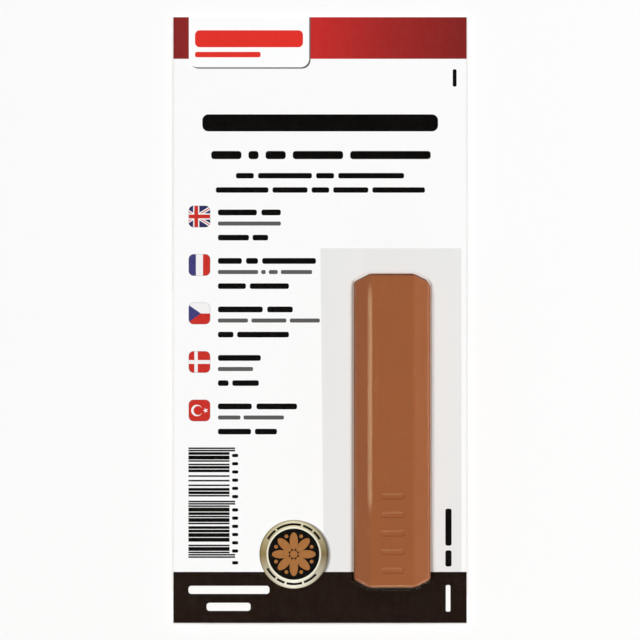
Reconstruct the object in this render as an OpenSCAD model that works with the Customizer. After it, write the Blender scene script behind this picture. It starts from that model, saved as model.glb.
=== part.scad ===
// Carded furniture repair wax stick: a cast stick of coloured wax and a flat
// plastic spatula lie in the moulded pocket of a clear sliding blister.
// The blister's left, right and lower edges are folded behind a printed card,
// and the card pulls out upwards to open the pack.
// The pack lies on its back: +Z out of the printed face, +Y to the card's top.

/* [Card] */
// Width of the card
card_w = 76; // [68:1:110]
// Height of the card
card_h = 157; // [140:1:200]
// Thickness of the carton
card_t = 0.5; // [0.3:0.05:1]

/* [Foil seal] */
// Diameter of the round seal
seal_d = 17.8; // [10:0.2:24]
// Thickness of the embossed foil
seal_t = 0.12; // [0.08:0.02:0.3]
// Centre of the seal from the card's left edge
seal_left = 31.2; // [16:0.2:34]
// Centre of the seal from the card's lower edge
seal_up = 17.8; // [14:0.2:40]

/* [Wax stick] */
// Width of the stick at its base
stick_w = 20; // [16:0.5:26]
// Length of the stick at its base
stick_l = 81.5; // [60:0.5:110]
// Thickness of the stick
stick_t = 9; // [7:0.5:14]
// Width of the flat front face
face_w = 11; // [8:0.5:13]
// How far the sloping side facets fall from the front face
facet_drop = 3.2; // [2:0.2:5]
// How far the cut corners run along the stick
corner_l = 2.2; // [1.6:0.2:5]
// How far the cast edges are rounded back to either side
edge_w = 0.9; // [0.4:0.1:1]
// Draft of the walls of the stick and of its pocket, in degrees
draft = 3; // [2:1:10]
// From the card's right edge to the stick
stick_right = 9.3; // [8:0.1:20]
// From the card's lower edge to the stick
stick_up = 9.1; // [6:0.1:30]

/* [Spatula] */
// Thickness of the spatula
spatula_t = 1.2; // [0.8:0.1:2]
// How far the spatula stays inside the stick's sides
spatula_inset = 2; // [1:0.1:4]
// How far the spatula stays inside the stick's ends
spatula_end = 4; // [3.5:0.5:10]
// Width of the waist between blade and grip
waist_w = 9; // [6:0.5:10]
// Length of the blade, from its edge to where it narrows
blade_l = 22; // [14:1:26]
// Length of the grip at full width
grip_l = 20; // [16:1:26]
// Length of the sharpened bevel
bevel_l = 7; // [4:0.5:12]
// Thickness left at the blade's edge
tip_t = 0.35; // [0.2:0.05:0.6]

/* [Blister] */
// Thickness of the clear film
film_t = 0.35; // [0.2:0.05:0.6]
// Running gap between the card and the folded film
slide_gap = 0.2; // [0.1:0.05:0.4]
// Width of the edges folded behind the card
flange_w = 6; // [3:0.5:12]
// Gap between the folded edges at the lower corners
corner_gap = 1.5; // [0.5:0.5:5]
// Gap between the stick and the pocket's wall
pocket_gap = 0.2; // [0.2:0.1:1]
// Gap between the stick and the spatula under it
nest_gap = 0.1; // [0.05:0.05:0.3]

/* [Hidden] */
$fn = 64;
corner_steps = 6;

// Levels, from the surface that the pack lies on upwards
card_z = film_t + slide_gap;
front_z = card_z + card_t;
sheet_z = front_z + seal_t + slide_gap;
spatula_z = front_z + slide_gap;
stick_z = spatula_z + spatula_t + nest_gap;
stick_top = stick_z + stick_t;
shoulder_z = stick_top - facet_drop;

// The stick's walls lean in from its base up to its shoulders and its front face
stick_flare = tan(draft) * (shoulder_z - stick_z);
top_w = stick_w - 2 * stick_flare;
top_l = stick_l - 2 * stick_flare;

// The film folds round the card's edges in half circles
fold_in = (sheet_z - film_t) / 2;
fold_out = fold_in + film_t;
fold_z = film_t + fold_in;
corner_cut = flange_w + corner_gap;

// The lower fold shifts the card, so that the pack is centred on the origin
card_y = fold_out / 2;
card_low = card_y - card_h / 2;
card_left = -card_w / 2;
stick_x = card_w / 2 - stick_right - stick_w / 2;
stick_y = card_low + stick_up + stick_l / 2;

// The spatula takes its outline from the stick that hides it
spatula_l = stick_l - 2 * spatula_end;
spatula_w = stick_w - 2 * spatula_inset;

// Unit vector along v, and the outward side of it on a counter-clockwise outline
function along(v) = v / norm(v);
function outward(v) = [along(v).y, -along(v).x];

// A convex counter-clockwise outline with every side moved outwards by d
function grown(points, d) = [
    for (i = [0 : len(points) - 1])
        let (
            before = outward(points[i] - points[(i + len(points) - 1) % len(points)]),
            after = outward(points[(i + 1) % len(points)] - points[i])
        )
        points[i] + (before + after) * d / (1 + before * after)
];

// An outline grown by d, with arcs in place of its corners. Where d is 0, an arc
// starts edge_w from its corner, so that shallow corners get wide, soft arcs.
function rounded(points, d) = [
    for (i = [0 : len(points) - 1])
        let (
            before = outward(points[i] - points[(i + len(points) - 1) % len(points)]),
            after = outward(points[(i + 1) % len(points)] - points[i]),
            turn = acos(min(1, before * after)),
            r = edge_w / tan(turn / 2) + d,
            centre = grown(points, d)[i] - (before + after) * r / (1 + before * after),
            start = atan2(before.y, before.x)
        )
        for (k = [0 : corner_steps])
            centre + r * [cos(start + turn * k / corner_steps), sin(start + turn * k / corner_steps)]
];

// Three views of the stick, from a base level at which its walls are flared
function front_view(flare) = [
    [face_w / 2, -top_l / 2 - flare],
    [top_w / 2 + flare, -top_l / 2 + corner_l - flare],
    [top_w / 2 + flare, top_l / 2 - corner_l + flare],
    [face_w / 2, top_l / 2 + flare],
    [-face_w / 2, top_l / 2 + flare],
    [-top_w / 2 - flare, top_l / 2 - corner_l + flare],
    [-top_w / 2 - flare, -top_l / 2 + corner_l - flare],
    [-face_w / 2, -top_l / 2 - flare]
];
function end_view(base, flare) = [
    [-top_w / 2 - flare, base],
    [top_w / 2 + flare, base],
    [top_w / 2, shoulder_z],
    [face_w / 2, stick_top],
    [-face_w / 2, stick_top],
    [-top_w / 2, shoulder_z]
];
function side_view(base, flare) = [
    [-top_l / 2 - flare, base],
    [top_l / 2 + flare, base],
    [top_l / 2, stick_top],
    [-top_l / 2, stick_top]
];

// The stick's form with all its sides moved outwards by d
module stick_form(base, flare, d) {
    reach = 2 * (stick_l + stick_w);
    translate([stick_x, stick_y, 0])
        intersection() {
            linear_extrude(height = reach, center = true)
                polygon(rounded(front_view(flare), d));
            rotate([90, 0, 0])
                linear_extrude(height = reach, center = true)
                    polygon(rounded(end_view(base, flare), d));
            rotate([90, 0, 90])
                linear_extrude(height = reach, center = true)
                    polygon(rounded(side_view(base, flare), d));
        }
}

// Pocket of the blister: the stick's form, flared down through the sheet
module pocket_form(d) {
    base = card_z - edge_w;
    stick_form(base, tan(draft) * (shoulder_z - base), d);
}

// One edge of the film, folded round a line along Y and back under the sheet
module folded_edge(length) {
    rotate([90, 0, 0])
        linear_extrude(height = length, center = true) {
            translate([0, fold_z])
                difference() {
                    circle(r = fold_out);
                    circle(r = fold_in);
                    translate([-2 * fold_out, -2 * fold_out])
                        square([2 * fold_out, 4 * fold_out]);
                }
            translate([-flange_w, 0])
                square([flange_w, film_t]);
        }
}

module printed_card() {
    color("white")
        translate([card_left, card_low, card_z])
            cube([card_w, card_h, card_t]);
}

module foil_seal() {
    color("darkgoldenrod")
        translate([card_left + seal_left, card_low + seal_up, front_z])
            cylinder(d = seal_d, h = seal_t);
}

module clear_blister() {
    side_l = card_h - corner_cut;
    color("aliceblue", 0.3)
        difference() {
            union() {
                translate([card_left, card_low, sheet_z])
                    cube([card_w, card_h, film_t]);
                for (side = [0, 1])
                    mirror([side, 0, 0])
                        translate([card_w / 2, card_low + corner_cut + side_l / 2, 0])
                            folded_edge(side_l);
                translate([0, card_low, 0])
                    rotate([0, 0, -90])
                        folded_edge(card_w - 2 * corner_cut);
                intersection() {
                    pocket_form(pocket_gap + film_t);
                    translate([card_left, card_low, sheet_z])
                        cube([card_w, card_h, stick_top]);
                }
            }
            intersection() {
                pocket_form(pocket_gap);
                translate([card_left, card_low, front_z])
                    cube([card_w, card_h, stick_top]);
            }
        }
}

module wax_stick() {
    color("sienna")
        stick_form(stick_z, stick_flare, 0);
}

// Flat spatula: a wide blade with a sharpened edge, a waist and a round-ended grip
module spatula() {
    half = spatula_l / 2;
    grip_r = spatula_w / 2;
    color("ivory")
        translate([stick_x, stick_y, spatula_z])
            intersection() {
                linear_extrude(height = spatula_t)
                    union() {
                        polygon([
                            [-spatula_w / 2, -half],
                            [spatula_w / 2, -half],
                            [spatula_w / 2, -half + blade_l / 2],
                            [waist_w / 2, -half + blade_l],
                            [waist_w / 2, half - grip_l],
                            [grip_r, half - grip_r],
                            [-grip_r, half - grip_r],
                            [-waist_w / 2, half - grip_l],
                            [-waist_w / 2, -half + blade_l],
                            [-spatula_w / 2, -half + blade_l / 2]
                        ]);
                        translate([0, half - grip_r])
                            circle(r = grip_r);
                    }
                rotate([90, 0, 90])
                    linear_extrude(height = 2 * spatula_w, center = true)
                        polygon([
                            [-half, 0],
                            [half, 0],
                            [half, spatula_t],
                            [-half + bevel_l, spatula_t],
                            [-half, tip_t]
                        ]);
            }
}

printed_card();
foil_seal();
clear_blister();
wax_stick();
spatula();
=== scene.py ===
# %% [markdown]
# # A wax repair stick on its card
# A stick of hard coloured wax fills scratches in furniture. It is sold on a printed card, in the pocket
# of a clear blister whose edges fold behind that card, with a flat spatula under the stick. A packed
# model gives the pieces, their sizes and their motions. This lesson gives them their looks.

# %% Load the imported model
import math
import random

import bmesh
import bpy
from mathutils import Matrix, Vector


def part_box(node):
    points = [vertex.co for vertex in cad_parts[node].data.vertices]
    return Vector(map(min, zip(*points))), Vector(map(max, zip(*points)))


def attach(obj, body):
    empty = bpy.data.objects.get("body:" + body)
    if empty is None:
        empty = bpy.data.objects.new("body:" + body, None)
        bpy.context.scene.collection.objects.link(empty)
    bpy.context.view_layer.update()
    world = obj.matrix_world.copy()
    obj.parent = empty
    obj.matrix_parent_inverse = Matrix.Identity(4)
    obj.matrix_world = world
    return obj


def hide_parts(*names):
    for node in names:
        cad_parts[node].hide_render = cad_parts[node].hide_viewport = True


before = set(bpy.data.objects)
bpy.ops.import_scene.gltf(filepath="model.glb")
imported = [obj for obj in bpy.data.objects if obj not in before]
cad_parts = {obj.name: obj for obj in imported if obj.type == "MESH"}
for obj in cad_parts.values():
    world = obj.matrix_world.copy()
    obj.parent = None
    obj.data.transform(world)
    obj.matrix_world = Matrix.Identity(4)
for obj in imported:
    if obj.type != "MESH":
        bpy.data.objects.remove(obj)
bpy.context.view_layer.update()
MM = 0.001

card_low, card_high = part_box("printed_card")
stick_low, stick_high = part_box("wax_stick")
seal_low, seal_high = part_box("foil_seal")
film_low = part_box("clear_blister")[0]
spatula_low, spatula_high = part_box("spatula")
card_centre = (card_low + card_high) / 2
stick_centre = (stick_low + stick_high) / 2
card_size = card_high - card_low
print("nodes:", ", ".join(sorted(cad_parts)))
print("card of", round(card_size.x / MM, 1), "by", round(card_size.y / MM, 1), "mm")

# %% [markdown]
# ## Camera
# The photograph looks straight at the card, whose sides run parallel in it, so a long lens hangs high
# above it. The card's width in the photograph sets the focal length.

# %% Camera
photo_side_px, photo_card_px = 640, 293.2
camera_distance, sensor_width_mm = 5.0, 36


def add_object(name, data):
    """Puts an object into the scene, at the origin."""
    item = bpy.data.objects.new(name, data)
    bpy.context.scene.collection.objects.link(item)
    return item


view_width = card_size.x * photo_side_px / photo_card_px
camera_data = bpy.data.cameras.new("camera")
camera_data.sensor_width = sensor_width_mm
camera_data.lens = sensor_width_mm * camera_distance / view_width
camera = add_object("camera", camera_data)
camera.location = (card_centre.x, card_centre.y, card_high.z + camera_distance)
bpy.context.scene.camera = camera
bpy.context.scene.view_settings.view_transform = "Standard"
print("lens of", round(camera_data.lens), "mm, view", round(view_width / MM), "mm wide")

# %% [markdown]
# ## Light
# A lamp over the camera would mirror in the film and grey the print. Two long softboxes hang left and
# right instead, and cast a soft shadow along both sides of the stick. Fills without shadow brighten the
# facets and the lower edges. None of these lamps shows in a mirror reflection.

# %% Softboxes and fills
softbox_side, softbox_up, softbox_height = 0.5, 0.62, 3
softbox_size, softbox_level = (0.26, 1.17), 0.405
fill_size = (1.2, 0.6)
studio_grey = (0.05, 0.05, 0.05, 1)


def add_lamp(name, place, target, size, watts):
    """Hangs a rectangular lamp that looks at a target."""
    data = bpy.data.lights.new(name, "AREA")
    data.shape = "RECTANGLE"
    data.size, data.size_y = size
    data.energy = watts
    lamp = add_object(name, data)
    lamp.location = place
    lamp.rotation_euler = (Vector(target) - Vector(place)).to_track_quat("-Z", "Y").to_euler()
    lamp.visible_camera = False
    return lamp


def soft_lamp(name, place, target, size, level, shadow=True):
    """A lamp that gives a flat white sheet at the target this share of full white."""
    ray = Vector(place) - Vector(target)
    watts = level * math.pi ** 2 * ray.length_squared / ray.normalized().z
    lamp = add_lamp(name, place, target, size, watts)
    lamp.visible_glossy = False
    lamp.data.use_shadow = shadow


for side, name in ((-1, "upper_left"), (1, "upper_right")):
    below = Vector((side * softbox_side, softbox_up, card_high.z))
    above = below + Vector((0, 0, softbox_height))
    soft_lamp(name, above, below, softbox_size, softbox_level)
card_middle = Vector((0, 0, card_high.z))
soft_lamp("right_fill", (1.5, 0, 0.54), card_middle, fill_size, level=0.183, shadow=False)
soft_lamp("left_fill", (-1.5, 0, 0.54), card_middle, fill_size, level=0.082, shadow=False)
soft_lamp("low_fill", (0, -1.6, 0.7), card_middle, fill_size, level=0.09, shadow=False)

world = bpy.data.worlds.new("studio")
world.use_nodes = True
world.node_tree.nodes["Background"].inputs["Color"].default_value = studio_grey
bpy.context.scene.world = world
print(len(bpy.data.lights), "soft lamps")

# %% [markdown]
# ## Highlights
# Rounded edges of wax and film mirror small bright things. Strips that only mirror reflections see draw
# these highlights: a long one on the stick's left edge, a short one on its right edge, and a fine line
# round its lower end.

# %% Mirror strips
strip_colour = (1, 0.85, 0.54)
low_end = -40.7


def mirror_strip(name, up, away, size, brightness):
    """A strip for a point that lies so many millimetres up from the stick's middle."""
    target = Vector((stick_centre.x, stick_centre.y + up * MM, stick_high.z))
    watts = brightness * math.pi * size[0] * size[1]
    strip = add_lamp(name, target + Vector(away), target, size, watts)
    strip.visible_diffuse = False
    strip.data.color = strip_colour


mirror_strip("left_strip", 4.9, away=(-0.53, 0, 0.665), size=(0.0665, 1.17), brightness=3.5)
mirror_strip("right_strip", 12.3, away=(0.15, 0, 0.0077), size=(0.045, 0.0345), brightness=2.3)
mirror_strip("low_strip", low_end, away=(0, -0.12, 0.08), size=(0.15, 0.16), brightness=2.7)
for side, name in ((-1, "left_corner_strip"), (1, "right_corner_strip")):
    mirror_strip(name, low_end, away=(side * 0.155, -0.04, 0.016), size=(0.05, 0.038), brightness=5.0)
print(len(bpy.data.lights), "lamps in all")

# %% [markdown]
# ## Building materials from nodes
# Every finish here is a small tree of nodes. One helper adds a node and fills its sockets, with values
# or with links from other nodes, so that each material below reads as a short list.

# %% Node helpers
def connect(tree, node, sockets):
    """Fills sockets, each with a value or with another node's output."""
    for name, value in sockets.items():
        if isinstance(value, bpy.types.NodeSocket):
            tree.links.new(value, node.inputs[name])
        else:
            node.inputs[name].default_value = value


def put(tree, kind, sockets=None, **settings):
    """Adds a node with its settings and fills its sockets."""
    node = tree.nodes.new("ShaderNode" + kind)
    for name, value in settings.items():
        setattr(node, name, value)
    connect(tree, node, sockets or {})
    return node


def new_material(name):
    """A material with its tree and its Principled shader."""
    material = bpy.data.materials.new(name)
    material.use_nodes = True
    return material, material.node_tree, material.node_tree.nodes["Principled BSDF"]


def srgb(red, green, blue):
    """A colour as a screen shows it, 0 to 255, in the linear values that shaders take."""
    linear = []
    for part in (red, green, blue):
        share = part / 255
        linear.append(share / 12.92 if share <= 0.04045 else ((share + 0.055) / 1.055) ** 2.4)
    return (*linear, 1)


def ramp(tree, factor, stops):
    """A colour ramp, each stop with its place and colour."""
    node = put(tree, "ValToRGB", {"Fac": factor})
    elements = node.color_ramp.elements
    while len(elements) < len(stops):
        elements.new(1)
    for element, (place, colour) in zip(elements, stops):
        element.position = place
        element.color = colour
    return node.outputs["Color"]


def blended(tree, factor, first, second):
    """Mixes two colours."""
    return put(tree, "Mix", {0: factor, 6: first, 7: second}, data_type="RGBA").outputs[2]


def mapped(tree, value, low=0, high=1, start=0, stop=1):
    """Takes a value between start and stop to the range from low to high."""
    sockets = {"Value": value, "From Min": start, "From Max": stop, "To Min": low, "To Max": high}
    return put(tree, "MapRange", sockets).outputs["Result"]


def combined(tree, operation, *values):
    """Works out one number from others."""
    return put(tree, "Math", dict(enumerate(values)), operation=operation).outputs[0]


print("helpers for nodes are ready")

# %% [markdown]
# ## Patterns
# Object coordinates are in metres here, as the pieces are, so a scale of 1000 gives spots of about a
# millimetre. Stretched coordinates turn spots to streaks.

# %% Pattern helpers
def object_coordinates(tree, scale=(1, 1, 1), move=(0, 0, 0)):
    """Object coordinates, stretched along the axes and moved."""
    source = put(tree, "TexCoord").outputs["Object"]
    return put(tree, "Mapping", {"Vector": source, "Scale": scale, "Location": move}).outputs["Vector"]


def coordinate(tree, axis):
    """One of the object coordinates."""
    return put(tree, "SeparateXYZ", {"Vector": object_coordinates(tree)}).outputs[axis]


def stored(tree, name):
    """A number that the mesh holds at its points."""
    return put(tree, "Attribute", attribute_name=name).outputs["Fac"]


def noise(tree, coordinates, scale, detail=3.0):
    """A cloudy pattern from 0 to 1."""
    sockets = {"Vector": coordinates, "Scale": scale, "Detail": detail}
    return put(tree, "TexNoise", sockets).outputs["Fac"]


def bumps(tree, height, depth, strength):
    """A normal dented by a height from 0 to 1, with the depth in metres."""
    sockets = {"Height": height, "Distance": depth, "Strength": strength}
    return put(tree, "Bump", sockets).outputs["Normal"]


print("helpers for patterns are ready")

# %% [markdown]
# ## Two effects that several finishes share
# Carton and inks show the same faint fibres, and wax, spatula and film carry the same kind of fine
# scuffs. Each effect is one node group, placed with its own scale in every material that needs it.

# %% Fibre and scuff groups
def new_group(name, inputs, output):
    """A node group whose sockets are plain numbers."""
    group = bpy.data.node_groups.new(name, "ShaderNodeTree")
    for label, value in inputs.items():
        socket = group.interface.new_socket(name=label, in_out="INPUT", socket_type="NodeSocketFloat")
        socket.default_value = value
    group.interface.new_socket(name=output, in_out="OUTPUT", socket_type="NodeSocketFloat")
    return group, group.nodes.new("NodeGroupInput"), group.nodes.new("NodeGroupOutput")


def make_fibre_group():
    """Short fibres along and across the sheet, as a tone from 0 to 1."""
    group, start, end = new_group("paper_fibre", {"Scale": 900.0}, "Tone")
    along = noise(group, object_coordinates(group, (1, 0.22, 1)), start.outputs["Scale"])
    across = noise(group, object_coordinates(group, (0.3, 1, 1)), start.outputs["Scale"])
    both = combined(group, "MULTIPLY", along, across)
    connect(group, end, {"Tone": mapped(group, both, start=0.12, stop=0.4)})
    return group


def make_scuff_group():
    """Hairline scuffs in two directions, as a mask from 0 to 1."""
    group, start, end = new_group("fine_scuffs", {"Scale": 260.0, "Width": 0.02}, "Mask")
    masks = []
    for stretch in ((1, 0.05, 1), (0.07, 1, 1)):
        pattern = noise(group, object_coordinates(group, stretch), start.outputs["Scale"], 2.0)
        distance = combined(group, "ABSOLUTE", combined(group, "SUBTRACT", pattern, 0.62))
        masks.append(mapped(group, distance, 1, 0, stop=start.outputs["Width"]))
    connect(group, end, {"Mask": combined(group, "MAXIMUM", *masks)})
    return group


def place_group(tree, group, **values):
    """Places a node group with its own values."""
    return put(tree, "Group", values, node_tree=group).outputs[0]


fibre_group = make_fibre_group()
scuff_group = make_scuff_group()
print("groups:", fibre_group.name, "and", scuff_group.name)

# %% [markdown]
# ## From a mesh to a piece
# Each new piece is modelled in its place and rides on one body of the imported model: the card and its
# print slide together, and the blister keeps the stick and the spatula. Weighted normals keep large
# flat faces flat beside small rounded edges.

# %% Piece helpers
def make_piece(name, mesh, material, body):
    """Turns a bmesh into a piece that rides on a body."""
    bmesh.ops.recalc_face_normals(mesh, faces=mesh.faces)
    if mesh.calc_volume(signed=True) < 0:
        bmesh.ops.reverse_faces(mesh, faces=mesh.faces)
    data = bpy.data.meshes.new(name)
    mesh.to_mesh(data)
    mesh.free()
    data.materials.append(material)
    piece = add_object(name, data)
    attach(piece, body)
    print(name, "has", len(data.polygons), "faces")
    return piece


def shade_smooth(piece, sharp_angle):
    """Rounded edges blend, and edges over the angle stay sharp."""
    piece.data.shade_smooth()
    piece.data.set_sharp_from_angle(angle=math.radians(sharp_angle))
    normals = piece.modifiers.new("flat_faces", "WEIGHTED_NORMAL")
    normals.keep_sharp = True


print("helpers for pieces are ready")

# %% [markdown]
# ## A few moves in bmesh
# The same few moves shape most pieces: rounding edges, cutting along a plane, and drawing a line to fill
# or spin. Operators hand back points, edges and faces in one list, so two helpers pick out one kind.

# %% Mesh helpers
merge_distance = 0.005 * MM


def points_in(geometry):
    """The points among what an operator made."""
    return [item for item in geometry if isinstance(item, bmesh.types.BMVert)]


def edges_in(geometry):
    """The edges among what an operator made."""
    return [item for item in geometry if isinstance(item, bmesh.types.BMEdge)]


def edges_at(points):
    """The edges that meet at some points, each of them once."""
    return list(dict.fromkeys(edge for point in points for edge in point.link_edges))


def upright_edges(edges, height):
    """The edges that climb by more than a height."""
    return [edge for edge in edges if abs(edge.verts[0].co.z - edge.verts[1].co.z) > height]


def draw_line(mesh, places, closed=False):
    """Draws a line from place to place; gives its points and edges."""
    points = [mesh.verts.new(place) for place in places]
    following = points[1:] + points[:1] if closed else points[1:]
    return points, [mesh.edges.new(pair) for pair in zip(points, following)]


def bevel(mesh, edges, size, segments):
    """Rounds edges to arcs."""
    bmesh.ops.bevel(
        mesh, geom=edges, offset=size, offset_type="OFFSET", segments=segments,
        profile=0.5, affect="EDGES", clamp_overlap=True, material=-1,
    )


def slice_at(mesh, point, normal, **settings):
    """Cuts every face along a plane."""
    everything = [*mesh.verts, *mesh.edges, *mesh.faces]
    bmesh.ops.bisect_plane(mesh, geom=everything, plane_co=point, plane_no=normal, **settings)


def close_holes(mesh):
    """Fills whatever is open."""
    open_edges = [edge for edge in mesh.edges if edge.is_boundary]
    bmesh.ops.holes_fill(mesh, edges=open_edges, sides=0)


def cut_away(mesh, point, outward):
    """Cuts off all that lies outside a plane."""
    slice_at(mesh, point, outward, clear_outer=True)
    close_holes(mesh)
    bmesh.ops.remove_doubles(mesh, verts=mesh.verts, dist=merge_distance)


def add_round(mesh, radius, depth, place, points):
    """Adds a flat round block and gives its points."""
    return bmesh.ops.create_cone(
        mesh, cap_ends=True, segments=points, radius1=radius, radius2=radius, depth=depth, matrix=place,
    )["verts"]


print("helpers for meshes are ready")

# %% [markdown]
# ## Carton
# The card is folding-box board: a bright coated face, a greyer back, and fibres that show on its cut
# edge. Its shape is right as packed, so it only gets this finish. Height tells face from back.

# %% Carton finish for the card
coated_white = (0.957, 0.963, 0.968, 1)
board_grey = (0.66, 0.64, 0.59, 1)
coating_foot, coating_head = card_high.z - 0.06 * MM, card_high.z - 0.02 * MM

carton, tree, shader = new_material("carton")
tone = place_group(tree, fibre_group, Scale=1100.0)
coating = mapped(tree, coordinate(tree, "Z"), start=coating_foot, stop=coating_head)
face = blended(tree, mapped(tree, tone, 0, 0.03), coated_white, board_grey)
back = blended(tree, mapped(tree, tone, 0, 0.35), board_grey, coated_white)
connect(tree, shader, {
    "Base Color": blended(tree, coating, back, face),
    "Roughness": mapped(tree, tone, 0.42, 0.62),
    "Normal": bumps(tree, tone, 0.02 * MM, 0.25),
})
card_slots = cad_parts["printed_card"].data.materials
card_slots.clear()
card_slots.append(carton)
print("card finished in", carton.name)

# %% [markdown]
# ## Inks
# Ink is a skin a few hundredths of a millimetre thick, in which the board's fibres show a little. Each
# colour is one thin mesh. A block that lies over another is a layer thicker, so that every block stands
# on the card. Places on the card are in millimetres from its upper left corner.

# %% Ink finish and blocks of ink
ink_layer, ink_spread = 0.02 * MM, 0.06
bar_space, bar_round = 0.7, 0.35
card_width, card_height = card_size.x / MM, card_size.y / MM


def ink_finish(name, colour, thin=0.006, roughness=0.4):
    """Ink of a colour, which may be a function of the tree, with a little carton showing through."""
    material, tree, shader = new_material(name)
    tone = place_group(tree, fibre_group, Scale=1400.0)
    solid = colour(tree) if callable(colour) else colour
    connect(tree, shader, {
        "Base Color": blended(tree, mapped(tree, tone, 0, thin), solid, coated_white),
        "Roughness": mapped(tree, tone, roughness - ink_spread, roughness + ink_spread),
        "Specular IOR Level": 0.12,
        "Normal": bumps(tree, tone, 0.01 * MM, 0.2),
    })
    return material


def on_card(left, top, height):
    """A point on the card, at a height in metres over its face."""
    return Vector((card_low.x + left * MM, card_high.y - top * MM, card_high.z + height))


def print_block(mesh, left, top, width, height, layer=1, radius=0.0, lower_only=False):
    """Adds a flat block of ink with rounded corners, or with only its lower ones rounded."""
    thickness = layer * ink_layer
    centre = on_card(left + width / 2, top + height / 2, thickness / 2)
    size = Vector((width * MM, height * MM, thickness))
    block = bmesh.ops.create_cube(mesh, size=1, matrix=Matrix.LocRotScale(centre, None, size))
    if radius:
        corners = upright_edges(edges_at(block["verts"]), thickness / 2)
        if lower_only:
            corners = [edge for edge in corners if edge.verts[0].co.y < centre.y]
        bevel(mesh, corners, radius * MM, segments=5)


def print_line(mesh, left, top, width, height, weights, layer=1):
    """Adds a line of rounded bars that share its width by their weights."""
    unit = width / (sum(weights) + bar_space * (len(weights) - 1))
    for weight in weights:
        print_block(mesh, left, top, weight * unit, height, layer, radius=bar_round * height)
        left += (weight + bar_space) * unit


def print_piece(name, mesh, finish):
    """A print that slides with the card."""
    return make_piece(name, mesh, finish, "card")


print("ink skin of", round(ink_layer / MM, 3), "mm")

# %% [markdown]
# ## Bands and panel
# A red band runs along the top, brightest near the middle, so its colour comes from a ramp along the
# card's width. A near-black band closes the foot. A pale grey panel lies behind the stick, and its left
# edge leans in a little at the foot.

# %% Bands and panel
header_height, foot_top = 10.8, 143.8
panel_left, panel_top, panel_width, panel_lean = 38.1, 59.9, 36.6, 0.9


def header_red(tree):
    """Dark red, brightest just left of the middle."""
    share = mapped(tree, coordinate(tree, "X"), start=card_low.x, stop=card_high.x)
    return ramp(tree, share, [
        (0.0, srgb(130, 36, 36)),
        (0.48, srgb(193, 42, 41)),
        (0.72, srgb(158, 38, 36)),
        (1.0, srgb(127, 34, 33)),
    ])


def panel_grey(tree):
    """Pale grey with faint upright streaks."""
    streaks = noise(tree, object_coordinates(tree, (1, 0.02, 1)), 160.0)
    return blended(tree, streaks, srgb(226, 227, 226), srgb(235, 235, 234))


mesh = bmesh.new()
print_block(mesh, 0, 0, card_width, header_height)
print_piece("print_header_band", mesh, ink_finish("header_red", header_red))

mesh = bmesh.new()
print_block(mesh, panel_left, panel_top, panel_width, foot_top - panel_top)
panel_middle = on_card(panel_left + panel_width / 2, (panel_top + foot_top) / 2, 0)
for vert in mesh.verts:
    if vert.co.x < panel_middle.x and vert.co.y < panel_middle.y:
        vert.co.x += panel_lean * MM
print_piece("print_panel", mesh, ink_finish("panel_grey", panel_grey))

mesh = bmesh.new()
print_block(mesh, 0, foot_top, card_width, card_height - foot_top)
print_piece("print_foot_band", mesh, ink_finish("foot_black", srgb(26, 14, 8)))

# %% [markdown]
# ## Header tab
# A white tab hangs over the red band, with a fine grey shadow along its right and lower edges. The
# shadow is the same block, moved a little and one layer lower. Two plain red bars stand on the tab.

# %% Header tab
tab_left, tab_width, tab_height, tab_radius = 4.0, 31.2, 13.0, 2.2
tab_shadow = 0.35
shadow_left, shadow_height = tab_left + tab_shadow, tab_height + tab_shadow

# Each bar has its left, top, width, height, layer and radius
tab_bars = [(5.6, 3.4, 28.0, 4.4, 4, 1.2), (5.6, 9.0, 17.0, 1.4, 4, 0.5)]

mesh = bmesh.new()
print_block(mesh, shadow_left, 0, tab_width, shadow_height, 2, tab_radius, lower_only=True)
print_piece("print_tab_shadow", mesh, ink_finish("shadow_grey", srgb(98, 94, 92)))

mesh = bmesh.new()
print_block(mesh, tab_left, 0, tab_width, tab_height, 3, tab_radius, lower_only=True)
print_piece("print_tab", mesh, ink_finish("tab_white", coated_white))

mesh = bmesh.new()
for bar in tab_bars:
    print_block(mesh, *bar)
print_piece("print_tab_bars", mesh, ink_finish("signal_red", srgb(222, 48, 40)))

# %% [markdown]
# ## Lines of print
# Lines of rounded bars fill the card, as in a printer's dummy. Bars are dark, grey in the middle line of
# each note, and white on the foot band. A few marks stand along the right edge.

# %% Lines of print
flag_left, flag_side, flag_pitch, first_flag_top = 4.0, 5.5, 12.57, 48.92
note_left = 11.55

# Each line has its left, top, width, height and weights
heading_lines = [
    (7.5, 25.2, 61.1, 4.4, (9,)),
    (9.8, 34.7, 56.9, 2.1, (3, 1, 2, 5, 8)),
    (16.2, 40.4, 43.6, 1.4, (3, 9, 3, 11)),
    (11.0, 44.1, 54.2, 1.4, (9, 6, 3, 6, 9)),
]
foot_lines = [(3.9, 147.4, 21.0, 2.1, (9,)), (8.6, 151.8, 11.4, 2.1, (5,))]

# Each row has its drop and its height, and each note has a width and weights for its three rows
note_rows = ((0.95, 1.5), (4.05, 1.05), (7.5, 1.45))
notes = [
    [(16.3, (6, 3)), (16.3, (15,)), (13.0, (6, 3))],
    [(25.4, (4, 2, 9)), (24.4, (9, 1, 2, 7)), (18.4, (5, 7))],
    [(19.4, (7, 4)), (26.4, (6, 7, 6)), (18.4, (3, 10))],
    [(11.1, (7,)), (9.1, (7,)), (10.6, (2, 5))],
    [(20.5, (5, 6)), (17.1, (5, 9)), (15.3, (6, 4))],
]

# Each mark has its left, top, width, height, layer and radius
dark_marks = [
    (72.4, 13.5, 1.0, 4.5, 1, 0.35),
    (70.5, 127.4, 1.6, 9.6, 2, 0.5),
    (70.5, 138.2, 1.6, 4.2, 2, 0.5),
]
white_mark = (70.6, 147.2, 1.2, 6.9, 2, 0.4)

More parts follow.
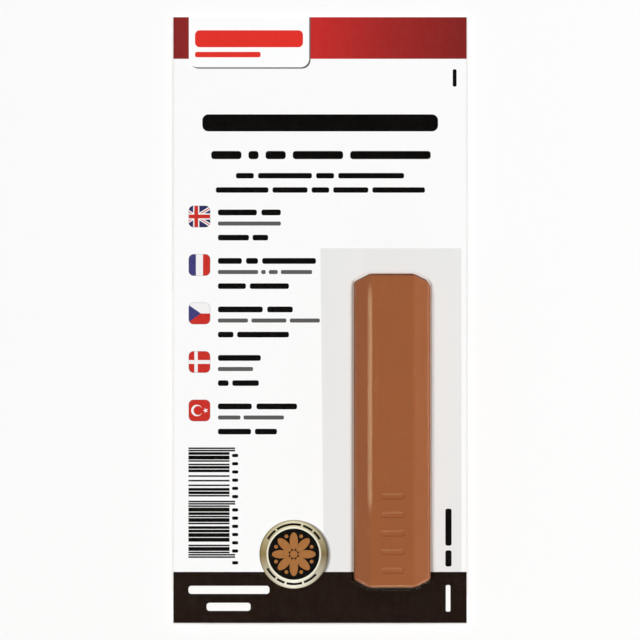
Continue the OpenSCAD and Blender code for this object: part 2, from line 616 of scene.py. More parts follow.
dark_mesh, light_mesh, white_mesh = bmesh.new(), bmesh.new(), bmesh.new()
for line in heading_lines:
    print_line(dark_mesh, *line)
for number, note in enumerate(notes):
    top = first_flag_top + number * flag_pitch
    row_meshes = (dark_mesh, light_mesh, dark_mesh)
    for mesh, (drop, height), (width, weights) in zip(row_meshes, note_rows, note):
        print_line(mesh, note_left, top + drop, width, height, weights)
for mark in dark_marks:
    print_block(dark_mesh, *mark)
for line in foot_lines:
    print_line(white_mesh, *line, layer=2)
print_block(white_mesh, *white_mark)
text_black = ink_finish("text_black", srgb(5, 4, 4), thin=0.002)
print_piece("print_dark_lines", dark_mesh, text_black)
print_piece("print_light_lines", light_mesh, ink_finish("text_grey", srgb(92, 90, 90)))
print_piece("print_white_lines", white_mesh, ink_finish("text_white", srgb(250, 250, 248)))

# %% [markdown]
# ## Bar code
# A turned bar code stands near the lower left corner. Its bars are random, from a fixed seed, so each
# run draws the same ones. Ink that spreads thickens each bar a little. Guard bars at both ends and in
# the middle reach further than the rest, and a row of short dashes runs beside them.

# %% Bar code
code_left, code_top, code_length = 3.9, 111.6, 28.5
bar_width, guard_width, ink_gain = 10.65, 12.1, 0.4
modules, middle_guard = 95, 46
module = code_length / modules
dash_left, dash_width, dash_length, dash_pitch, dash_radius = 15.2, 1.6, 0.85, 2.13, 0.35
first_dash, last_dash = 1.6, 0.9

random.seed(12)
guards = (0, 2, middle_guard, middle_guard + 2, modules - 3, modules - 1)
bars = [(place, 1, guard_width) for place in guards]
for place, stop in ((4, middle_guard - 1), (middle_guard + 4, modules - 4)):
    while place < stop:
        thick = min(random.choice((1, 1, 2, 2, 3)), stop - place)
        bars.append((place, thick, bar_width))
        place += thick + random.choice((1, 1, 1, 2, 3))

mesh = bmesh.new()
for place, thick, width in bars:
    bar_top = code_top + (place - ink_gain / 2) * module
    print_block(mesh, code_left, bar_top, width, (thick + ink_gain) * module)
dash_tops = [code_top + first_dash + number * dash_pitch for number in range(6)]
dash_tops += [top + (middle_guard + 1) * module for top in dash_tops]
dash_tops.append(code_top + code_length + last_dash)
for dash_top in dash_tops:
    print_block(mesh, dash_left, dash_top, dash_width, dash_length, 1, dash_radius)
print_piece("print_bar_code", mesh, text_black)
print(len(bars), "bars and", len(dash_tops), "dashes")

# %% [markdown]
# ## Flag colours
# Five small flags mark the languages. Apart from a crescent and a star they have straight lines only, so
# each flag needs a rule for the colour at a place, and the lines where that colour changes. Places run
# from -0.5 to 0.5 across a flag and up it.

# %% Flag colours
flag_red, flag_white = srgb(198, 46, 38), srgb(240, 239, 239)
flag_blue, navy = srgb(62, 60, 118), srgb(44, 44, 92)
cross_centre, cross_lean = Vector((-0.15, 0, 0)), 0.62
red_arm, white_arm, red_slant, white_slant = 0.09, 0.145, 0.022, 0.075
band_half = 1 / 6
wedge_tip, wedge_lean = Vector((0.07, 0, 0)), 0.7
upright_x, upright_half, level_half = -0.16, 0.08, 0.09


def crossed(x, y):
    """Upright and slanted crosses on navy, left of the middle."""
    x -= cross_centre.x
    upright = min(abs(x), abs(y))
    slanted = abs(abs(y) - cross_lean * abs(x)) / math.hypot(1, cross_lean)
    if upright < red_arm or (slanted < red_slant and upright > white_arm):
        return flag_red
    return flag_white if upright < white_arm or slanted < white_slant else navy


def upright_bands(x, y):
    """Blue, white and red side by side."""
    if abs(x) < band_half:
        return flag_white
    return flag_blue if x < 0 else flag_red


def wedge(x, y):
    """White over red, with a blue wedge from the left."""
    if abs(y) < wedge_lean * (wedge_tip.x - x):
        return flag_blue
    return flag_white if y > 0 else flag_red


def offset_cross(x, y):
    """A white cross on red, its upright left of the middle."""
    return flag_white if abs(x - upright_x) < upright_half or abs(y) < level_half else flag_red


def plain_red(x, y):
    """All red."""
    return flag_red


def cuts_across(normal, distances, centre=Vector()):
    """Cut lines with one direction at several distances from a centre."""
    direction = Vector((*normal, 0)).normalized()
    return [(centre + direction * distance, direction) for distance in distances]


cross_cuts = []
for normal in ((1, 0), (0, 1)):
    cross_cuts += cuts_across(normal, (-white_arm, -red_arm, red_arm, white_arm), cross_centre)
for normal in ((cross_lean, 1), (-cross_lean, 1)):
    cross_cuts += cuts_across(normal, (-white_slant, -red_slant, red_slant, white_slant), cross_centre)
wedge_cuts = [(wedge_tip, Vector((wedge_lean, way, 0))) for way in (1, -1)]
upright_cuts = cuts_across((1, 0), (upright_x - upright_half, upright_x + upright_half))
flags = [
    (crossed, cross_cuts),
    (upright_bands, cuts_across((1, 0), (-band_half, band_half))),
    (wedge, wedge_cuts + cuts_across((0, 1), (0,))),
    (offset_cross, upright_cuts + cuts_across((0, 1), (-level_half, level_half))),
    (plain_red, []),
]
print(len(flags), "flags with", sum(len(cuts) for rule, cuts in flags), "cuts")

# %% [markdown]
# ## Flags
# Each flag is a block with rounded corners, cut along its lines. Every face takes the colour at its
# middle, stored on the mesh, so one finish serves all five. On the last flag a white disc under a
# smaller red one leaves a crescent, and a disc of ten points becomes a star when every other point is
# drawn in. A grey edge is printed round each flag.

# %% Flags
flag_round, flag_merge = 0.22, 0.002
moon_x, moon_radius, bite_x, bite_radius = -0.12, 0.27, -0.06, 0.215
star_x, star_radius, star_points, star_waist = 0.29, 0.13, 10, 0.6
edge_width, edge_round = 0.08, 1.3


def paint_faces(mesh, faces, colour_at):
    """Stores a colour on every corner of some faces."""
    paint = mesh.loops.layers.float_color.get("ink") or mesh.loops.layers.float_color.new("ink")
    for face in faces:
        middle = face.calc_center_median()
        for loop in face.loops:
            loop[paint] = colour_at(middle.x, middle.y)


def add_disc(mesh, x, radius, layers, colour, points=40):
    """Lays a round block, some layers of ink high, on a flag."""
    place = Matrix.Translation((x, 0, layers / 2 - 0.5)) @ Matrix.Rotation(math.pi / points, 4, "Z")
    verts = add_round(mesh, radius, layers, place, points)
    faces = dict.fromkeys(face for vert in verts for face in vert.link_faces)
    paint_faces(mesh, faces, lambda x, y: colour)
    return verts


def add_moon_and_star(mesh):
    """Lays a white crescent and a white star on a red flag."""
    add_disc(mesh, moon_x, moon_radius, 2, flag_white)
    add_disc(mesh, bite_x, bite_radius, 3, flag_red)
    for corner in add_disc(mesh, star_x, star_radius, 2, flag_white, star_points):
        spoke = corner.co - Vector((star_x, 0, corner.co.z))
        step = round(math.atan2(spoke.y, spoke.x) / (math.tau / star_points))
        if step % 2 == 0:
            corner.co -= spoke * star_waist


def flag_ink(tree):
    """The colour stored on the mesh."""
    return put(tree, "VertexColor", layer_name="ink").outputs["Color"]


flag_finish = ink_finish("flag_inks", flag_ink, roughness=0.3)
flag_size = Vector((flag_side * MM, flag_side * MM, 2 * ink_layer))
edge_left, edge_side = flag_left - edge_width, flag_side + 2 * edge_width
edge_mesh = bmesh.new()
for number, (colour_at, cuts) in enumerate(flags):
    mesh = bmesh.new()
    bmesh.ops.create_cube(mesh, size=1)
    bevel(mesh, upright_edges(mesh.edges, 0.5), flag_round, segments=6)
    for point, direction in cuts:
        slice_at(mesh, point, direction)
    bmesh.ops.remove_doubles(mesh, verts=mesh.verts, dist=flag_merge)
    paint_faces(mesh, mesh.faces, colour_at)
    if colour_at is plain_red:
        add_moon_and_star(mesh)
    top = first_flag_top + number * flag_pitch
    centre = on_card(flag_left + flag_side / 2, top + flag_side / 2, ink_layer)
    place = Matrix.LocRotScale(centre, None, flag_size)
    bmesh.ops.transform(mesh, matrix=place, verts=mesh.verts)
    print_piece(f"print_flag_{number + 1}", mesh, flag_finish)
    print_block(edge_mesh, edge_left, top - edge_width, edge_side, edge_side, 1, edge_round)
print_piece("print_flag_edges", edge_mesh, ink_finish("edge_grey", srgb(160, 158, 160)))

# %% [markdown]
# ## Gold foil
# The round seal is stamped foil. Its colours come from ramps round the circle and hold a painted
# reflection: olive at the sides and a pale golden tone above and below. A painted highlight lies on the
# inner bead, and painted shade darkens the outer edge, most of all on the right.

# %% Gold finish
seal_centre = Vector(((seal_low.x + seal_high.x) / 2, (seal_low.y + seal_high.y) / 2, seal_low.z))
seal_radius = (seal_high.x - seal_low.x) / 2 / MM
disc_radius, bead_width = 6.65, 0.5
highlight_start, highlight_stop = disc_radius + bead_width, disc_radius + 0.7 * bead_width
shade_start, shade_stop = seal_radius - 0.5, seal_radius - 0.15
olive, reflection_cream = srgb(142, 122, 76), srgb(255, 253, 236)


def round_ramp(tree, turn, left, low, right, high):
    """Colours that run into each other round a circle."""
    return ramp(tree, turn, [(0, left), (0.25, low), (0.5, right), (0.75, high), (1, left)])


gold_foil, tree, shader = new_material("gold_foil")
centred = object_coordinates(tree, move=-seal_centre)
turn = put(tree, "TexGradient", {"Vector": centred}, gradient_type="RADIAL").outputs["Fac"]
# Painted reflection: the foil's colour runs from olive at the sides to pale above and below.
gold_and_painted_reflection = round_ramp(tree, turn, olive, reflection_cream, srgb(122, 105, 66), srgb(236, 230, 196))
# Painted light and shade on the outer edge: darkest on the right, pale below.
edge_light_and_shade = srgb(100, 90, 52), srgb(228, 221, 196), srgb(40, 34, 30), srgb(165, 158, 125)
edge = round_ramp(tree, turn, *edge_light_and_shade)
reach = put(tree, "VectorMath", {0: centred}, operation="LENGTH").outputs["Value"]
# Painted highlight: the inner bead is lightened towards a pale colour.
painted_highlight = mapped(tree, reach, 0, 0.8, highlight_start * MM, highlight_stop * MM)
shade = mapped(tree, reach, 0, 0.9, shade_start * MM, shade_stop * MM)
gold_with_painted_light = blended(tree, shade, blended(tree, painted_highlight, gold_and_painted_reflection, reflection_cream), edge)
grain = noise(tree, object_coordinates(tree, (1, 0.08, 1)), 2600.0)
connect(tree, shader, {
    "Base Color": blended(tree, mapped(tree, grain, 0, 0.1), gold_with_painted_light, olive),
    "Metallic": 0.05,
    "Roughness": mapped(tree, grain, 0.28, 0.42),
    "Normal": bumps(tree, grain, 0.01 * MM, 0.3),
})
print("seal of", round(2 * seal_radius, 1), "mm in", gold_foil.name)

# %% [markdown]
# ## Foil seal
# The seal has a rim between two beads. Its half section is drawn once and spun round. Two discs print a
# soft shadow beside it, a pale one and a darker one that is moved less. They stop at the foot band, on
# which no shadow shows.

# %% Seal rim and its printed shadow
disc_height, rim_height, bead_height = 0.05, 0.07, 0.13
round_points, section_merge = 96, 0.001
shadow_drop = 0.15
shadow_discs = [(0.75, srgb(196, 193, 190)), (0.4, srgb(132, 127, 122))]


def bead(outer):
    """Section points of a small round bead, from its outer side inwards."""
    return [
        (outer, rim_height),
        (outer - 0.2 * bead_width, 0.8 * bead_height),
        (outer - 0.5 * bead_width, bead_height),
        (outer - 0.8 * bead_width, 0.8 * bead_height),
        (outer - bead_width, rim_height),
    ]


def place_on_seal(mesh):
    """Moves a mesh drawn round the origin, in millimetres, to the seal's place."""
    place = Matrix.LocRotScale(seal_centre, None, Vector((MM, MM, MM)))
    bmesh.ops.transform(mesh, matrix=place, verts=mesh.verts)


def seal_piece(name, mesh, finish):
    """A part of the seal, which slides with the card."""
    place_on_seal(mesh)
    return make_piece(name, mesh, finish, "card")


mesh = bmesh.new()
section = [(0, 0), (seal_radius, 0), (seal_radius, 0.6 * rim_height)]
section += bead(seal_radius) + bead(disc_radius + bead_width)
section += [(disc_radius, disc_height), (0, disc_height)]
points, lines = draw_line(mesh, [(radius, 0, height) for radius, height in section])
bmesh.ops.spin(
    mesh, geom=[*points, *lines], cent=(0, 0, 0), axis=(0, 0, 1),
    angle=math.tau, steps=round_points, use_merge=True,
)
bmesh.ops.remove_doubles(mesh, verts=mesh.verts, dist=section_merge)
seal = seal_piece("seal_rim", mesh, gold_foil)
shade_smooth(seal, sharp_angle=50)
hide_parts("foil_seal")

for number, (shift, grey) in enumerate(shadow_discs, start=1):
    mesh = bmesh.new()
    depth = (number + 1) * ink_layer / MM
    place = Matrix.Translation((shift, -shadow_drop, depth / 2))
    add_round(mesh, seal_radius, depth, place, round_points)
    place_on_seal(mesh)
    cut_away(mesh, on_card(0, foot_top, 0), Vector((0, -1, 0)))
    print_piece(f"print_seal_shadow_{number}", mesh, ink_finish(f"seal_shadow_{number}", grey))

# %% [markdown]
# ## Disc and rosette
# A dark lacquered disc fills the seal. Its motif is a plain rosette of eight petals, with a dot between
# each two and a button in the middle, all flattened spheres. Plain bars round the rim are small
# rectangles spun through part of a turn.

# %% Seal disc, rosette and rim bars
enamel_top, disc_gap, dome_rise = disc_height + 0.015, 0.02, 0.05
petals, petal_reach, petal_size = 8, 3.4, (2.3, 1.1)
dot_reach, dot_size, button_size = 5.0, (0.5, 0.5), (1.0, 1.0)
lacquer_depth, lacquer_spread = 1.35, 0.06
bar_inner, bar_outer = 7.45, 8.05
bar_foot, bar_head, bar_step = rim_height - 0.01, rim_height + 0.012, 3

# Each bar has its start and its sweep, in degrees
upper_bars = [(150, -22), (124, -48), (72, -20), (48, -18)]
lower_bars = [(208, 24), (236, 16), (256, 30), (290, 28)]


def seal_enamel(name, colour, roughness):
    """Lacquer with a little depth of colour."""
    material, tree, shader = new_material(name)
    cloud = noise(tree, object_coordinates(tree), 900.0)
    lighter = (*(min(1, part * lacquer_depth) for part in colour[:3]), 1)
    connect(tree, shader, {
        "Base Color": blended(tree, cloud, colour, lighter),
        "Roughness": mapped(tree, cloud, roughness - lacquer_spread, roughness + lacquer_spread),
        "Specular IOR Level": 0.15,
    })
    return material


def add_dome(mesh, turn, reach, size, around, rings):
    """Adds a flat dome at a share of a full turn and a reach from the seal's middle."""
    place = Matrix.LocRotScale(Vector((reach, 0, enamel_top)), None, Vector((*size, dome_rise)))
    turned = Matrix.Rotation(math.tau * turn, 4, "Z") @ place
    bmesh.ops.create_uvsphere(mesh, u_segments=around, v_segments=rings, radius=1, matrix=turned)


mesh = bmesh.new()
disc_place = Matrix.Translation((0, 0, (enamel_top + disc_height) / 2))
add_round(mesh, disc_radius - disc_gap, enamel_top - disc_height, disc_place, round_points)
seal_piece("seal_disc", mesh, seal_enamel("seal_black", srgb(8, 8, 7), 0.4))

mesh = bmesh.new()
for number in range(petals):
    add_dome(mesh, number / petals, petal_reach, petal_size, around=20, rings=10)
    add_dome(mesh, (number + 0.5) / petals, dot_reach, dot_size, around=12, rings=8)
add_dome(mesh, 0, 0, button_size, around=24, rings=10)
rosette = seal_piece("seal_rosette", mesh, seal_enamel("seal_brown", srgb(153, 102, 57), 0.4))
rosette.data.shade_smooth()

mesh = bmesh.new()
corners = ((bar_inner, bar_foot), (bar_outer, bar_foot), (bar_outer, bar_head), (bar_inner, bar_head))
for start, sweep in upper_bars + lower_bars:
    turn = Matrix.Rotation(math.radians(start), 3, "Z")
    places = [turn @ Vector((reach, 0, height)) for reach, height in corners]
    points, sides = draw_line(mesh, places, closed=True)
    bmesh.ops.spin(
        mesh, geom=[*points, *sides], cent=(0, 0, 0), axis=(0, 0, 1),
        angle=math.radians(sweep), steps=max(3, round(abs(sweep) / bar_step)),
    )
close_holes(mesh)
seal_piece("seal_rim_bars", mesh, seal_enamel("seal_dark_ink", srgb(20, 17, 11), 0.45))

# %% [markdown]
# ## Form of the stick
# The stick is cast: a block with cut corners, two sloping facets along its front, and walls that lean
# in, so that it leaves its mould. One bisecting plane cuts each of these faces from a block, and one
# more rounds the upper right corner. The front reaches a little further to the left. The blister's
# pocket has the same form, so all the planes can also be moved outwards.

# %% Form of the stick
face_left, face_right = 5.75 * MM, 5.5 * MM
facet_drop, corner_length, corner_round = 3.2 * MM, 2.2 * MM, 0.57 * MM
draft, form_merge = math.radians(3), 0.01 * MM
shoulder_z = stick_high.z - facet_drop
stick_flare = math.tan(draft) * (shoulder_z - stick_low.z)
stick_half = (stick_high - stick_low) / 2
top_half = stick_half - Vector((stick_flare, stick_flare, 0))


def form_planes(half, height, flare):
    """A point on each plane, from the middle of the front face, and the plane's way out."""
    planes = []
    for side, face_half in ((-1, face_left), (1, face_right)):
        planes.append(((side * face_half, 0, 0), (side * facet_drop, 0, top_half.x - face_half)))
        planes.append(((side * half.x, 0, -height), (side, 0, math.tan(draft))))
        planes.append(((0, side * half.y, -height), (0, side * height, flare)))
        for end in (-1, 1):
            corner = Vector((side * corner_length, end * (half.x - face_half), 0)).normalized()
            planes.append(((side * face_half, end * half.y, 0), corner))
            if side == end == 1:
                shoulder = Vector((half.x, half.y - corner_length, 0))
                between = (corner + Vector((1, 0, 0))).normalized()
                planes.append((shoulder - between * corner_round, between))
    return planes


def faceted_block(foot_z, gap):
    """The cast form down to a level, with all its faces moved outwards by a gap."""
    flare = math.tan(draft) * (shoulder_z - foot_z)
    half = top_half + Vector((flare, flare, 0))
    height = stick_high.z - foot_z
    spare = gap + MM
    mesh = bmesh.new()
    block_size = Vector((2 * (half.x + spare), 2 * (half.y + spare), height + gap))
    block_centre = Vector((stick_centre.x, stick_centre.y, foot_z + block_size.z / 2))
    bmesh.ops.create_cube(mesh, size=1, matrix=Matrix.LocRotScale(block_centre, None, block_size))
    front_centre = Vector((stick_centre.x, stick_centre.y, stick_high.z))
    for point, outward in form_planes(half, height, flare):
        normal = Vector(outward).normalized()
        cut_away(mesh, front_centre + Vector(point) + normal * gap, normal)
    bmesh.ops.remove_doubles(mesh, verts=mesh.verts, dist=form_merge)
    return mesh


print("stick of", [round(2 * side / MM, 1) for side in stick_half], "mm")

# %% [markdown]
# ## Grooves
# A row of short grooves is let into the front face near its lower end. The face is taken out and filled
# again round the grooves' outlines, which are then drawn in and pushed down in small steps.

# %% Grooves in the front
grooves, groove_pitch, groove_up = 5, 4.8 * MM, 14.1 * MM
groove_radius, groove_reach, groove_points = 0.85 * MM, 2.4 * MM, 32

# Each step has how far it draws in and how far it rises, in millimetres
groove_steps = ((0.1, -0.05), (0.16, -0.2), (0.16, -0.08))


def draw_groove(mesh, centre):
    """Draws a groove's outline: a circle pulled apart into two round ends."""
    place = Matrix.Translation(centre) @ Matrix.Rotation(math.pi / groove_points, 4, "Z")
    circle = bmesh.ops.create_circle(mesh, segments=groove_points, radius=groove_radius, matrix=place)
    for vert in circle["verts"]:
        vert.co.x += math.copysign(groove_reach, vert.co.x - centre.x)
    return edges_at(circle["verts"])


def sink_groove(mesh, edges, centre):
    """Draws a groove's outline in and down, step by step, and fills its floor."""
    for shrink, rise in groove_steps:
        made = bmesh.ops.extrude_edge_only(mesh, edges=edges)["geom"]
        edges = edges_in(made)
        for vert in points_in(made):
            spoke = vert.co - centre
            spoke.x -= math.copysign(groove_reach, spoke.x)
            spoke.z = 0
            vert.co -= spoke.normalized() * shrink * MM
            vert.co.z += rise * MM
    bmesh.ops.holes_fill(mesh, edges=edges, sides=0)


def engrave(mesh):
    """Lets the row of grooves into the front face."""
    mesh.normal_update()
    fronts = [face for face in mesh.faces if face.normal.z > 0.999]
    front = max(fronts, key=lambda face: face.calc_area())
    open_edges = front.edges[:]
    bmesh.ops.delete(mesh, geom=[front], context="FACES_ONLY")
    outlines = []
    for number in range(grooves):
        groove_y = stick_low.y + groove_up + (number - (grooves - 1) / 2) * groove_pitch
        centre = Vector((stick_centre.x, groove_y, stick_high.z))
        outlines.append((draw_groove(mesh, centre), centre))
        open_edges += outlines[-1][0]
    bmesh.ops.triangle_fill(mesh, use_beauty=True, edges=open_edges)
    for outline, centre in outlines:
        sink_groove(mesh, outline, centre)


print(grooves, "grooves of", round(2 * (groove_reach + groove_radius) / MM, 1), "mm")

# %% [markdown]
# ## Wax
# The wax is dense: a little cloudy inside, satin outside, with fine scuffs. Two numbers stored on the
# mesh tell its sides apart. One is how far a point faces up, and keeps the walls dull. The other marks
# the stick's upper edge and the grooves' lower walls, where a darker line of painted shade is laid on
# the wax's colour.

# %% Wax finish
wax_brown, wax_light = srgb(151, 88, 52), srgb(159, 93, 55)
wax_scuff, wax_painted_shade = srgb(196, 150, 118), srgb(92, 52, 32)

wax, tree, shader = new_material("wax")
cloud = noise(tree, object_coordinates(tree, (1, 0.5, 1)), 140.0, 4.0)
grain = noise(tree, object_coordinates(tree), 5200.0, 2.0)
scuffs = place_group(tree, scuff_group, Scale=330.0, Width=0.012)
body = blended(tree, cloud, wax_brown, wax_light)
worn = blended(tree, mapped(tree, scuffs, 0, 0.05), body, wax_scuff)
shine = mapped(tree, stored(tree, "upward"), start=0.4, stop=0.6)
dents = combined(tree, "SUBTRACT", grain, scuffs)
connect(tree, shader, {
    # Painted shade: the upper edge and the grooves' lower walls take a darker brown in the colour.
    "Base Color": blended(tree, stored(tree, "painted_shade_edge"), worn, wax_painted_shade),
    "Roughness": mapped(tree, shine, 0.9, mapped(tree, grain, 0.42, 0.54)),
    "Specular IOR Level": 0.2,
    "Coat Weight": combined(tree, "MULTIPLY", shine, mapped(tree, scuffs, 0.9, 0.5)),
    "Coat Roughness": 0.03,
    "Normal": bumps(tree, dents, 0.015 * MM, 0.3),
    "Subsurface Weight": 0.08,
    "Subsurface Radius": (1.0, 0.4, 0.2),
    "Subsurface Scale": 0.8 * MM,
})
print("finish", wax.name, "is ready")

# %% [markdown]
# ## Wax stick
# One bevel rounds all the cast edges. The facets meet the front at a shallow angle, so it gives them a
# broad soft edge. A cut across near each end keeps what is stored there from spreading.

# %% Wax stick
cast_edge, end_ring = 0.9 * MM, 3 * MM


def note_slopes(mesh, name, slope_at):
    """Stores a number for the slope at every point."""
    bmesh.ops.recalc_face_normals(mesh, faces=mesh.faces)
    layer = mesh.verts.layers.float.new(name)
    for vert in mesh.verts:
        vert[layer] = slope_at(vert)


def on_painted_shade_edge(vert):
    """1 on steep rounded edges that face the card's top, where painted shade darkens the wax."""
    return 1.0 if 0.1 < vert.normal.z < 0.75 and vert.normal.y > 0.45 else 0.0


mesh = faceted_block(stick_low.z, 0)
bevel(mesh, mesh.edges[:], cast_edge, segments=5)
for end in (-1, 1):
    near_end = Vector((0, stick_centre.y + end * (stick_half.y - end_ring), 0))
    slice_at(mesh, near_end, (0, 1, 0))
engrave(mesh)
note_slopes(mesh, "upward", lambda vert: vert.normal.z)
note_slopes(mesh, "painted_shade_edge", on_painted_shade_edge)
stick = make_piece("stick_casting", mesh, wax, "blister")
shade_smooth(stick, sharp_angle=22)
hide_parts("wax_stick")

# %% [markdown]
# ## Spatula
# A thin spatula lies behind the stick: a wide blade with a ground edge, a narrow waist and a round-ended
# grip. Its outline is one spun arc and a few corners. It is filled and raised, one plane grinds the
# blade, and bevels soften the rest.

# %% Spatula outline
waist_half, blade_length, grip_length, grip_steps = 4.5 * MM, 22 * MM, 20 * MM, 28

mesh = bmesh.new()
middle_x = (spatula_low.x + spatula_high.x) / 2
half = (spatula_high.x - spatula_low.x) / 2
grip_centre = Vector((middle_x, spatula_high.y - half, spatula_low.z))
first = mesh.verts.new(grip_centre + Vector((half, 0, 0)))
arc = bmesh.ops.spin(
    mesh, geom=[first], cent=grip_centre, axis=(0, 0, 1), angle=math.pi, steps=grip_steps,
)
last = points_in(arc["geom_last"])[0]
steps = [
    (waist_half, spatula_high.y - grip_length),
    (waist_half, spatula_low.y + blade_length),
    (half, spatula_low.y + blade_length / 2),
    (half, spatula_low.y),
]
left = [mesh.verts.new((middle_x - x, y, spatula_low.z)) for x, y in steps]
right = [mesh.verts.new((middle_x + x, y, spatula_low.z)) for x, y in reversed(steps)]
chain = [last, *left, *right, first]
for pair in zip(chain, chain[1:]):
    mesh.edges.new(pair)
print("outline of", len(mesh.edges), "edges")

# %% Spatula
ground_length, ground_edge = 7 * MM, 0.35 * MM
outline_round, rim_round = 3 * MM, 0.2 * MM
corner_angle, rim_angle = 0.2, 1.0
milky_dark, milky_light = (0.78, 0.76, 0.7, 1), (0.86, 0.84, 0.79, 1)

bmesh.ops.contextual_create(mesh, geom=mesh.edges[:])
raised = bmesh.ops.extrude_face_region(mesh, geom=mesh.faces[:], use_keep_orig=True)["geom"]
spatula_thickness = spatula_high.z - spatula_low.z
bmesh.ops.translate(mesh, vec=(0, 0, spatula_thickness), verts=points_in(raised))
bmesh.ops.recalc_face_normals(mesh, faces=mesh.faces)
ground_slope = Vector((0, ground_edge - spatula_thickness, ground_length))
blade_edge = Vector((0, spatula_low.y, spatula_low.z + ground_edge))
cut_away(mesh, blade_edge, ground_slope.normalized())
corners = upright_edges(mesh.edges, 0.5 * spatula_thickness)
corners = [edge for edge in corners if edge.calc_face_angle(0) > corner_angle]
bevel(mesh, corners, outline_round, segments=6)
rims = [edge for edge in mesh.edges if edge.calc_face_angle(0) > rim_angle]
bevel(mesh, rims, rim_round, segments=2)

milky, tree, shader = new_material("milky_plastic")
cloud = noise(tree, object_coordinates(tree), 220.0)
scuffs = place_group(tree, scuff_group, Scale=420.0, Width=0.015)
connect(tree, shader, {
    "Base Color": blended(tree, cloud, milky_dark, milky_light),
    "Roughness": mapped(tree, scuffs, 0.32, 0.5),
    "Normal": bumps(tree, scuffs, -0.01 * MM, 0.3),
    "Subsurface Weight": 0.2,
    "Subsurface Radius": (1.0, 0.9, 0.7),
    "Subsurface Scale": 1.0 * MM,
})
spatula = make_piece("spatula_moulding", mesh, milky, "blister")
shade_smooth(spatula, sharp_angle=40)
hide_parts("spatula")

# %% [markdown]
# ## Film
# Clear plastic takes a little light on every millimetre, which shows only where the eye looks along the
# film, as on the pocket's walls. A number stored on the mesh tells how far a wall faces sideways. There
# the film's colour is darkened to a warm brown, painted shade for the dark ring beside the stick, and it
# has no gloss, so that it doesn't mirror the white card. Light and mirror rays pass straight through, so
# the film throws no shadow.

# %% Film finish
# The wall colour is painted shade: it darkens the pocket's side walls into a ring beside the stick.
film_clear, wall_painted_shade = (0.995, 1.0, 1.0, 1), (0.45, 0.36, 0.3, 1)
steep_start, steep_stop = 0.66, 0.95
passed_colour, film_absorption = (0.45, 0.15, 0, 1), 35.0

film, tree, shader = new_material("clear_film")
scuffs = place_group(tree, scuff_group, Scale=120.0, Width=0.004)
wave = noise(tree, object_coordinates(tree), 45.0, 1.0)
steep = mapped(tree, stored(tree, "sideways"), start=steep_start, stop=steep_stop)
connect(tree, shader, {
    "Base Color": blended(tree, steep, film_clear, wall_painted_shade),
    "Roughness": mapped(tree, scuffs, 0.02, 0.09),
    "IOR": 1.001,
    "Transmission Weight": 1.0,
    "Coat Weight": mapped(tree, steep, mapped(tree, scuffs, 0.45, 0.3), 0),
    "Coat Roughness": 0.03,
    "Coat IOR": 1.45,
    "Normal": bumps(tree, wave, 0.2 * MM, 0.02),
})
clear = put(tree, "BsdfTransparent").outputs["BSDF"]
path = put(tree, "LightPath").outputs
surface = shader.outputs["BSDF"]
for kind in ("Is Glossy Ray", "Is Diffuse Ray", "Is Shadow Ray"):
    surface = put(tree, "MixShader", {0: path[kind], 1: surface, 2: clear}).outputs["Shader"]
absorbed = put(tree, "VolumeAbsorption", {"Color": passed_colour, "Density": film_absorption})
outlets = {"Surface": surface, "Volume": absorbed.outputs["Volume"]}
connect(tree, tree.nodes["Material Output"], outlets)
print("finish", film.name, "is ready")

# %% [markdown]
# ## Clear blister
# One sheet of film is drawn over the stick's form, and its edges are folded round the card. The pocket
# is that form, taken further down and grown by a gap, with a narrow ring round its foot. A fill joins it
# to the sheet's outline, which has corners where the folds end.

# %% Pocket and sheet
film_thickness, pocket_gap, slide_gap = 0.35 * MM, 0.2 * MM, 0.2 * MM
foot_ring, corner_cut = 3 * MM, 7.5 * MM
sheet_under = seal_high.z + slide_gap

mesh = faceted_block(sheet_under, pocket_gap)
base = min(mesh.faces, key=lambda face: face.calc_center_median().z)
pocket_foot = base.edges[:]
bmesh.ops.delete(mesh, geom=[base], context="FACES_ONLY")
made = bmesh.ops.extrude_edge_only(mesh, edges=pocket_foot)["geom"]
for vert in points_in(made):
    vert.co.x += math.copysign(foot_ring, vert.co.x - stick_centre.x)
    vert.co.y += math.copysign(foot_ring, vert.co.y - stick_centre.y)

low, high = card_low, card_high
outline = [
    (low.x, low.y), (low.x + corner_cut, low.y), (high.x - corner_cut, low.y), (high.x, low.y),
    (high.x, low.y + corner_cut), (high.x, high.y), (low.x, high.y), (low.x, low.y + corner_cut),
]
sheet_edges = draw_line(mesh, [(x, y, sheet_under) for x, y in outline], closed=True)[1]
bmesh.ops.triangle_fill(mesh, use_beauty=True, edges=edges_in(made) + sheet_edges)
print("sheet lies", round((sheet_under - card_high.z) / MM, 2), "mm over the card")

# %% [markdown]
# ## Folds
# Three open edges are spun through half a circle and drawn in behind the card. One bevel rounds the
# pocket's edges and its foot, and the surface then gets the film's thickness.

# %% Blister
flange_width, fold_z = 6 * MM, (film_low.z + film_thickness + sheet_under) / 2
pocket_edge, bend_angle, fold_steps = 1.0 * MM, math.radians(25), 10
wall_foot = sheet_under + 2 * film_thickness
bottom_edge, right_edge, left_edge = sheet_edges[1], sheet_edges[4], sheet_edges[6]

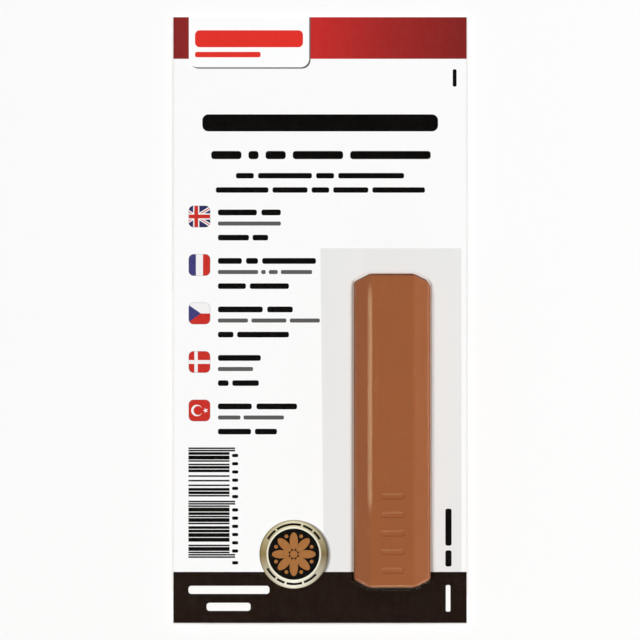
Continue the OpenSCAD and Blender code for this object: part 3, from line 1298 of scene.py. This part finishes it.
# Each fold has its edge, its centre, its axis, its angle and the way of its flange
folds = [
    (left_edge, (low.x, 0, fold_z), (0, 1, 0), -math.pi, (flange_width, 0, 0)),
    (right_edge, (high.x, 0, fold_z), (0, 1, 0), math.pi, (-flange_width, 0, 0)),
    (bottom_edge, (0, low.y, fold_z), (1, 0, 0), math.pi, (0, flange_width, 0)),
]


def faces_sideways(vert):
    """1 where a wall of the pocket faces straight left or right."""
    return abs(vert.normal.x) if vert.co.z > wall_foot else 0.0


for edge, centre, axis, angle, flange in folds:
    around = bmesh.ops.spin(
        mesh, geom=[edge, *edge.verts], cent=centre, axis=axis, angle=angle, steps=fold_steps,
    )
    made = bmesh.ops.extrude_edge_only(mesh, edges=edges_in(around["geom_last"]))["geom"]
    bmesh.ops.translate(mesh, vec=flange, verts=points_in(made))
bmesh.ops.recalc_face_normals(mesh, faces=mesh.faces)
bends = [edge for edge in mesh.edges if edge.is_manifold and edge.calc_face_angle(0) > bend_angle]
bevel(mesh, bends, pocket_edge, segments=5)
top_face = max(mesh.faces, key=lambda face: face.calc_center_median().z)
if top_face.normal.z < 0:
    bmesh.ops.reverse_faces(mesh, faces=mesh.faces)
bmesh.ops.solidify(mesh, geom=mesh.faces[:], thickness=-film_thickness)
note_slopes(mesh, "sideways", faces_sideways)
blister = make_piece("blister_film", mesh, film, "blister")
shade_smooth(blister, sharp_angle=40)
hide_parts("clear_blister")

# %% [markdown]
# ## Floor
# The pack lies on a plain pale floor, which is part of the studio and not of the object. It makes the
# background white and keeps the pack's soft shadow.

# %% Floor
floor_reach, floor_drop = 3, 0.02 * MM
floor_colour = (0.92, 0.92, 0.92, 1)

mesh = bmesh.new()
bmesh.ops.create_grid(mesh, x_segments=1, y_segments=1, size=floor_reach)
bmesh.ops.translate(mesh, vec=(0, 0, -floor_drop), verts=mesh.verts)
floor_data = bpy.data.meshes.new("floor")
mesh.to_mesh(floor_data)
mesh.free()
floor_white, tree, shader = new_material("floor_white")
connect(tree, shader, {"Base Color": floor_colour, "Roughness": 0.9})
floor_data.materials.append(floor_white)
floor = add_object("floor", floor_data)
print("floor laid")
